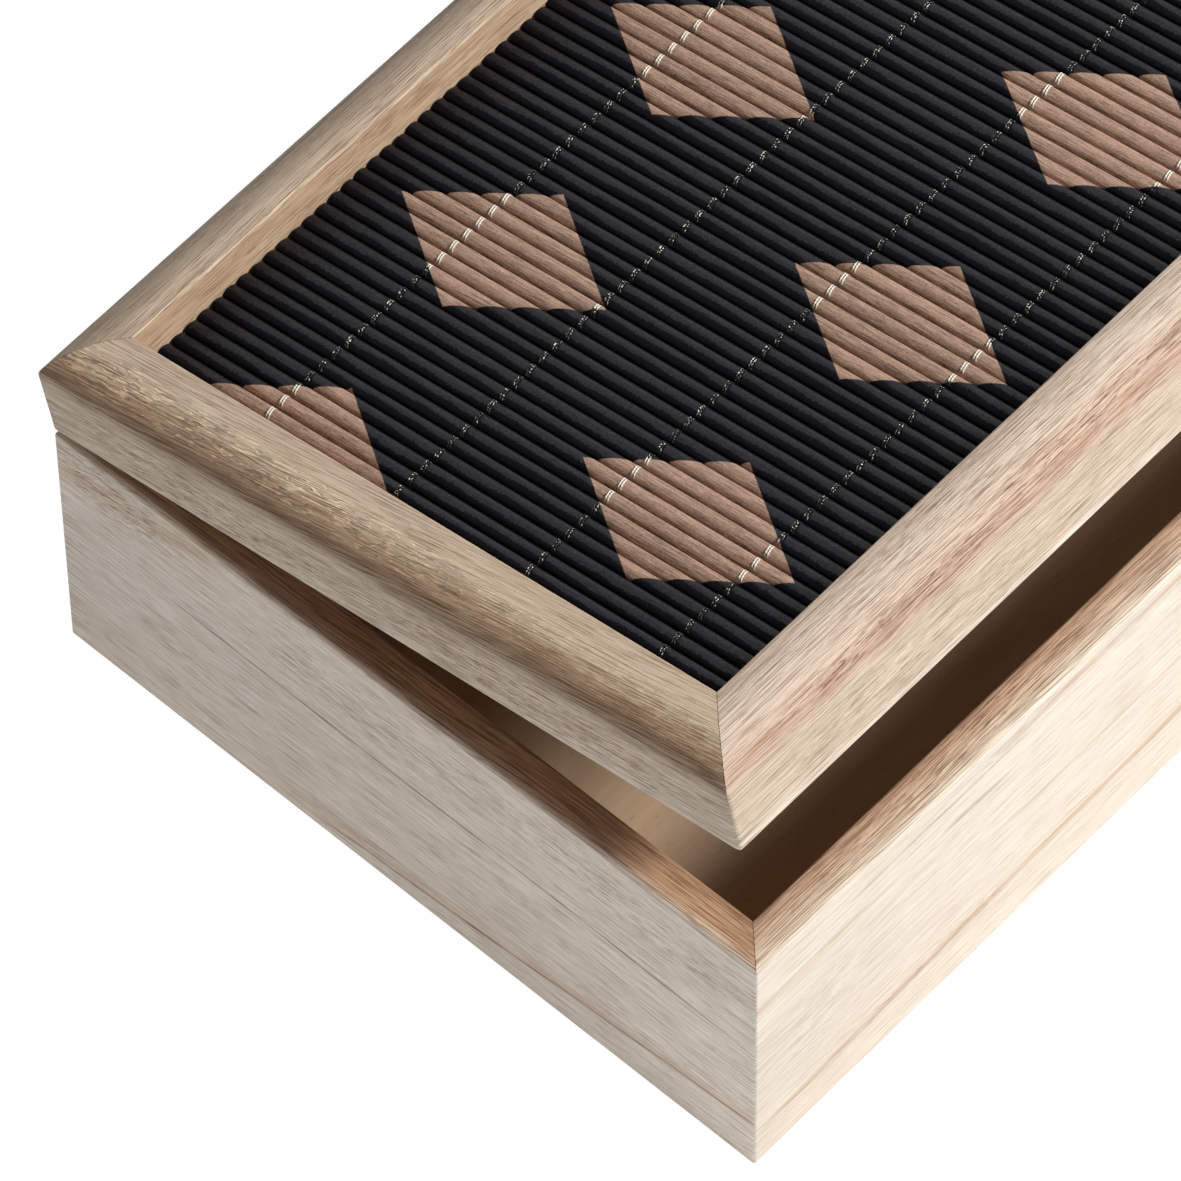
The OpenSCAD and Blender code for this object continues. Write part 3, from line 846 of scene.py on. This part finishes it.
# Operators


class KEEPSAKE_OT_walls(bpy.types.Operator):
    """Make the four mitred walls and the glue in their corners"""

    bl_idname = "keepsake.walls"
    bl_label = "Walls"

    def execute(self, context):
        case = context.scene.keepsake_case
        sizes = case.walls
        for side, bar in SIDES.items():
            node = f"{side}_wall"
            piece = board(f"{node}_board", wall_profile(sizes), bar, sizes.glue_line, sizes.corner_r)
            settle(piece, "case", "body_wood", wood(f"Wood of {node}", BOARDS[node]), node)
        rim, face = 0.35 * MM, 0.4 * MM
        inner, top = WALL_T - face, BODY_H - rim
        section = np.array([(inner, top), (face, top), (face, rim), (inner, rim)])
        glue = glue_slabs("case_glue_lines", section, sizes.glue_line)
        settle(glue, "case", "body_wood", plain("Glue of the walls", case.tones.glue, 0.7))
        return {"FINISHED"}


class KEEPSAKE_OT_lid_frame(bpy.types.Operator):
    """Make the four moulded rails of the lid and the glue in their corners"""

    bl_idname = "keepsake.lid_frame"
    bl_label = "Lid frame"

    def execute(self, context):
        case = context.scene.keepsake_case
        sizes = case.rails
        glue_line = case.walls.glue_line
        for side, bar in SIDES.items():
            node = f"lid_{side}_rail"
            piece = board(f"{node}_moulding", rail_profile(sizes), bar, glue_line, sizes.corner_r, raised)
            settle(piece, "lid", "lid_wood", wood(f"Wood of {node}", RAILS[node]), node)
        back = 0.5 * MM
        inner, side, shelf = RAIL_W - back, WALL_T - back, PANEL_TOP + back
        rebate = [(back, back), (side, back), (side, shelf), (inner, shelf)]
        section = np.concatenate([[(inner, LID_H - back)], crown(sizes, back), rebate])
        glue = glue_slabs("lid_glue_lines", section, glue_line, raised)
        settle(glue, "lid", "lid_wood", plain("Glue of the lid", case.tones.glue, 0.7))
        return {"FINISHED"}


class KEEPSAKE_OT_panels(bpy.types.Operator):
    """Finish the bottom panel and the panel under the mat as plywood"""

    bl_idname = "keepsake.panels"
    bl_label = "Panels"

    def execute(self, context):
        shade = context.scene.keepsake_case.tones.plywood
        nodes = frame["nodes"]
        dress(nodes["bottom_panel"], plywood("Plywood of the bottom", shade, seed=1.0))
        dress(nodes["lid_panel"], plywood("Plywood of the lid", shade, seed=11.0))
        return {"FINISHED"}


def slat_dome(share):
    """Height of a slat's crown above its straight sides, as a share of its whole rise, at a share of
    its half width: an ellipse, the root of 1 less the share squared."""
    return np.sqrt(np.clip(1 - share ** 2, 0, 1))


class KEEPSAKE_OT_slat_mat(bpy.types.Operator):
    """Make the mat of domed slats, each a little different"""

    bl_idname = "keepsake.slat_mat"
    bl_label = "Slat mat"

    def execute(self, context):
        case = context.scene.keepsake_case
        mat = slat_mat(case.mat)
        settle(mat, "lid", "bamboo", slat_finish(case.mat, case.tones), "bamboo_slats")
        return {"FINISHED"}


def slat_mat(sizes, rings=25, crown_points=15):
    """Slats carried along Y: straight sides, and a crown above them over evenly spaced angles. Each
    slat has its own width, height, place, ends and tone. It bows by a parabola, and waves and swells by
    sines of its length."""
    centres, step = slat_centres(sizes)
    count = len(centres)
    narrowed, lowered, shifted, waved, swollen = 0.05, 0.1, 0.2, 0.15, 0.04
    waves, swells = 5, 7
    draw = np.random.default_rng(sizes.seed)
    wide = (step - sizes.slat_gap) / 2 * (1 - narrowed * draw.random(count))
    rise = (MAT_TOP - PANEL_TOP - sizes.slat_side) * (1 - lowered * draw.random(count))
    shift = shifted * sizes.slat_wander * draw.normal(size=count)
    bow = sizes.slat_wander * draw.uniform(-1, 1, count)
    phase = draw.uniform(0, 2 * math.pi, (2, count))
    ends = MAT_W / 2 - sizes.end_wander * draw.random((2, count))
    slat_tone = draw.random(count)
    each = (centres, wide, rise, shift, bow, slat_tone)
    centres, wide, rise, shift, bow, slat_tone = (value[:, None, None] for value in each)
    low_end, high_end = ends[:, :, None, None]
    wave_phase, swell_phase = phase[:, :, None, None]
    y = -low_end + np.linspace(0, 1, rings)[None, :, None] * (low_end + high_end)
    crown_x = np.cos(np.radians(np.linspace(0, 180, crown_points)))
    side_x = np.concatenate([crown_x, [-1, 1]])[None, None]
    side_z = np.concatenate([slat_dome(crown_x), [-1, -1]])[None, None]
    reach = MAT_W / 2
    bowed = bow * (1 - (y / reach) ** 2) * 0.5
    wave = waved * sizes.slat_wander * np.sin(y / reach * waves + wave_phase)
    x = centres + shift + bowed + wave + wide * side_x
    swell = 1 + swollen * np.sin(y / reach * swells + swell_phase)
    z = PANEL_TOP + np.where(side_z < 0, 0, sizes.slat_side + rise * swell * side_z)
    grid = np.stack(np.broadcast_arrays(x, y, z), -1)
    held = {"slat_tone": slat_tone, "crown_share": side_x}
    return shell_mesh("slat_mat", raised(grid), closed(grid[..., :2]), held, sharp=50)


def slat_centres(sizes):
    """Middle of each slat along the mat, and the step between them: whole slats that fill the mat's
    length."""
    mat_l = np.ptp(MAT[:, 0]) + sizes.slat_gap
    count = math.floor(mat_l / sizes.slat_pitch + 1e-6)
    step = mat_l / count
    return (np.arange(count) + 0.5) * step - mat_l / 2, step


class KEEPSAKE_OT_stitching(bpy.types.Operator):
    """Make the four rows of stitching, each of two twisted threads"""

    bl_idname = "keepsake.stitching"
    bl_label = "Stitching"

    def execute(self, context):
        case = context.scene.keepsake_case
        sizes = case.thread
        finish = thread_finish(case.mat, case.tones)
        for node in STITCH_ROWS:
            row_y = (shut(node)[:, 1].max() + shut(node)[:, 1].min()) / 2
            grid, crest = stitch_row(row_y, sizes, case.mat)
            uv = closed(grid[..., :2])
            row = shell_mesh(f"{node}_thread", raised(grid), uv, {"crest": crest}, sharp=180)
            settle(row, "lid", "thread", finish, node)
        return {"FINISHED"}


def stitch_row(row_y, sizes, mat, per_slat=22, sides=6):
    """Two threads of two plies each along a row. A thread arches over each slat as the root of 1 less a
    power of its share of the half slat, dips between slats by a bell curve, and leans to the side as it
    crosses each slat. A ply winds round its thread as a helix, and its section is a circle square to the
    thread's run."""
    ply_share, seat_share, dip_share = 0.27, 0.42, 0.3
    arch_power, lean_reach = 2.2, 0.4
    centres, step = slat_centres(mat)
    ply_r = sizes.thread_d * ply_share
    dip_w = dip_share * (step - mat.slat_gap) / 2
    share = np.linspace(-0.5, 0.5, per_slat, endpoint=False)
    x = (centres[:, None] + share * step).ravel()
    share = np.tile(share, len(centres))
    dome = np.sqrt(np.clip(1 - np.abs(2 * share) ** arch_power, 0, 1))
    lean = sizes.slant * np.interp(share, [-0.5, -lean_reach, lean_reach, 0.5], [0, -1, 1, 0])
    rise = MAT_TOP - PANEL_TOP - mat.slat_side
    height = PANEL_TOP + mat.slat_side + rise * dome + sizes.thread_d * seat_share
    height = height - sizes.sink * np.exp(-(((0.5 - np.abs(share)) * step / dip_w) ** 2))
    # 1 on the tops of the slats and 0 between them
    crest = np.clip(dome * 3 - 1.9, 0, 1)[:, None] * np.ones(sides)
    round_it = np.linspace(0, 2 * np.pi, sides, endpoint=False)[None, :, None]
    plies = []
    for thread in (-1, 1):
        middle = row_y + thread * (sizes.thread_d + sizes.thread_gap) / 2 + lean
        for start in (0, np.pi):
            turn = 2 * np.pi * x / sizes.twist + start + thread
            offset = sizes.thread_d / 2 - ply_r
            line = np.stack([x, middle + offset * np.cos(turn), height + offset * np.sin(turn)], 1)
            run = np.gradient(line, axis=0)
            run /= np.linalg.norm(run, axis=1)[:, None]
            up = np.cross(run, [0, 1, 0])
            up /= np.linalg.norm(up, axis=1)[:, None]
            beside = np.cross(up, run)
            circle = np.cos(round_it) * up[:, None] + np.sin(round_it) * beside[:, None]
            plies.append(line[:, None] + ply_r * circle)
    return np.stack(plies), crest


class KEEPSAKE_OT_hinges(bpy.types.Operator):
    """Finish the two hinges, their pins and their screws"""

    bl_idname = "keepsake.hinges"
    bl_label = "Hinges"

    def execute(self, context):
        tones = context.scene.keepsake_case.tones
        leaf = metal("Brass of the leaves", tones.brass, rough=0.34, seed=0.1)
        screw = metal("Brass of the screws", tones.brass, rough=0.28, seed=0.4)
        pin = metal("Steel of the pins", tones.steel, rough=0.24, seed=0.7)
        nodes = frame["nodes"]
        for side in ("left", "right"):
            dress(nodes[f"{side}_hinge_pin"], pin)
            for part in ("body", "lid"):
                dress(nodes[f"{side}_hinge_{part}_leaf"], leaf)
        for part in ("body", "lid"):
            dress(nodes[f"{part}_hinge_screws"], screw)
        return {"FINISHED"}


def bearing(azimuth, elevation):
    """Unit vector towards a bearing: azimuth 0 is the front, -Y, and it grows towards +X."""
    level = math.cos(elevation)
    return Vector((math.sin(azimuth) * level, -math.cos(azimuth) * level, math.sin(elevation)))


class KEEPSAKE_OT_stage(bpy.types.Operator):
    """Make the floor, the lights and the camera"""

    bl_idname = "keepsake.stage"
    bl_label = "Stage"

    def execute(self, context):
        case = context.scene.keepsake_case
        sizes = case.stage
        make_floor(sizes.floor_size, case.tones.floor)
        make_lights(context.scene, sizes)
        make_camera(context.scene, sizes)
        context.scene.view_settings.view_transform = "Standard"
        return {"FINISHED"}


def make_floor(size, shade):
    """A square floor. To the camera and in reflections a glow is mixed in, which makes it white and
    still leaves the shadow."""
    half = size / 2
    glow_strength, glow_share = 1.1, 0.9
    mesh = bpy.data.meshes.new("floor")
    corners = [(-half, -half, 0), (half, -half, 0), (half, half, 0), (-half, half, 0)]
    mesh.from_pydata(corners, [], [(0, 1, 2, 3)])
    floor = bpy.data.objects.new("floor", mesh)
    bpy.context.scene.collection.objects.link(floor)
    graph = Graph("Pale floor")
    matte = graph.node("ShaderNodeBsdfDiffuse", {}, {0: (*shade, 1)})
    glow = graph.node("ShaderNodeEmission", {}, {0: WHITE, 1: glow_strength})
    shown = graph.node("ShaderNodeMixShader", {}, {0: glow_share, 1: matte, 2: glow})
    seen = seen_directly(graph)
    mixed = graph.node("ShaderNodeMixShader", {}, {0: seen, 1: matte, 2: shown})
    graph.node("ShaderNodeOutputMaterial", {}, {"Surface": mixed})
    mesh.materials.append(graph.owner)


def seen_directly(graph):
    """1 for camera, glossy and transmission rays, 0 for the rays that light the scene."""
    path = graph.node("ShaderNodeLightPath")
    names = ("Is Camera Ray", "Is Glossy Ray", "Is Transmission Ray")
    camera, glossy, passed = (path.output(name) for name in names)
    return graph.math("MAXIMUM", graph.math("MAXIMUM", camera, glossy), passed)


def make_lights(scene, sizes):
    """An even fill from all round, white to the camera and in reflections, a key light from the front
    right and a wide weak light from the left."""
    scene.world = bpy.data.worlds.new("Studio")
    graph = Graph("Studio", scene.world)
    dim = graph.node("ShaderNodeBackground", {}, {0: WHITE, 1: sizes.fill_strength})
    white = graph.node("ShaderNodeBackground", {}, {0: WHITE, 1: 1.0})
    mixed = graph.node("ShaderNodeMixShader", {}, {0: seen_directly(graph), 1: dim, 2: white})
    graph.node("ShaderNodeOutputWorld", {}, {"Surface": mixed})
    key = (sizes.key_size, sizes.key_strength, sizes.key_bearing, sizes.key_height)
    side = (sizes.side_size, sizes.side_strength, sizes.side_bearing, sizes.side_height)
    for name, (size, strength, azimuth, elevation) in {"key": key, "side": side}.items():
        lamp = bpy.data.lights.new(name, "AREA")
        lamp.size = size
        lamp.energy = strength * (math.pi * sizes.light_distance) ** 2
        light = bpy.data.objects.new(name, lamp)
        scene.collection.objects.link(light)
        towards = bearing(azimuth, elevation)
        light.location = Vector((0, 0, BODY_H / 2)) + towards * sizes.light_distance
        light.rotation_euler = towards.to_track_quat("Z", "Y").to_euler()


def make_camera(scene, sizes):
    """A camera at the picture's angle. The near foot of the case lies at its own pixel, and the case's
    depth takes its own number of pixels there, which gives the distance."""
    picture = 1181
    sensor_mm = 36
    back = bearing(sizes.azimuth, sizes.elevation)
    level = Vector((math.cos(sizes.azimuth), math.sin(sizes.azimuth), 0))
    upright = back.cross(level)
    c, s = math.cos(sizes.roll), math.sin(sizes.roll)
    right, up = c * level + s * upright, -s * level + c * upright
    metres = CASE_W / sizes.depth_px
    foot = Vector((-CASE_L / 2, -CASE_W / 2, 0))
    aside, above = picture / 2 - sizes.corner_x, sizes.corner_y - picture / 2
    place = foot + metres * (aside * right + above * up + sizes.focal_px * back)
    data = bpy.data.cameras.new("camera")
    data.sensor_width = sensor_mm
    data.lens = sizes.focal_px / picture * data.sensor_width
    data.clip_start, data.clip_end = 0.1, 50
    camera = bpy.data.objects.new("camera", data)
    scene.collection.objects.link(camera)
    turn = Matrix((right, up, back)).transposed().to_4x4()
    camera.matrix_world = Matrix.Translation(place) @ turn
    scene.camera = camera


STEPS = (
    KEEPSAKE_OT_walls, KEEPSAKE_OT_lid_frame, KEEPSAKE_OT_panels, KEEPSAKE_OT_slat_mat,
    KEEPSAKE_OT_stitching, KEEPSAKE_OT_hinges, KEEPSAKE_OT_stage,
)


class KEEPSAKE_PT_sidebar(bpy.types.Panel):
    """Lists the steps that build the case"""

    bl_label = "Keepsake Case"
    bl_idname = "KEEPSAKE_PT_sidebar"
    bl_space_type = "VIEW_3D"
    bl_region_type = "UI"
    bl_category = "Keepsake Case"

    def draw(self, context):
        for step in STEPS:
            self.layout.operator(step.bl_idname)


GROUPS = (WallSizes, RailSizes, MatSizes, ThreadSizes, Tones, StageSizes, KeepsakeCase)
CLASSES = GROUPS + STEPS + (KEEPSAKE_PT_sidebar,)


def register():
    for item in CLASSES:
        bpy.utils.register_class(item)
    bpy.types.Scene.keepsake_case = PointerProperty(type=KeepsakeCase)


def unregister():
    del bpy.types.Scene.keepsake_case
    for item in reversed(CLASSES):
        bpy.utils.unregister_class(item)


def main():
    register()
    bpy.ops.keepsake.walls()
    bpy.ops.keepsake.lid_frame()
    bpy.ops.keepsake.panels()
    bpy.ops.keepsake.slat_mat()
    bpy.ops.keepsake.stitching()
    bpy.ops.keepsake.hinges()
    bpy.ops.keepsake.stage()


if __name__ == "__main__":
    main()
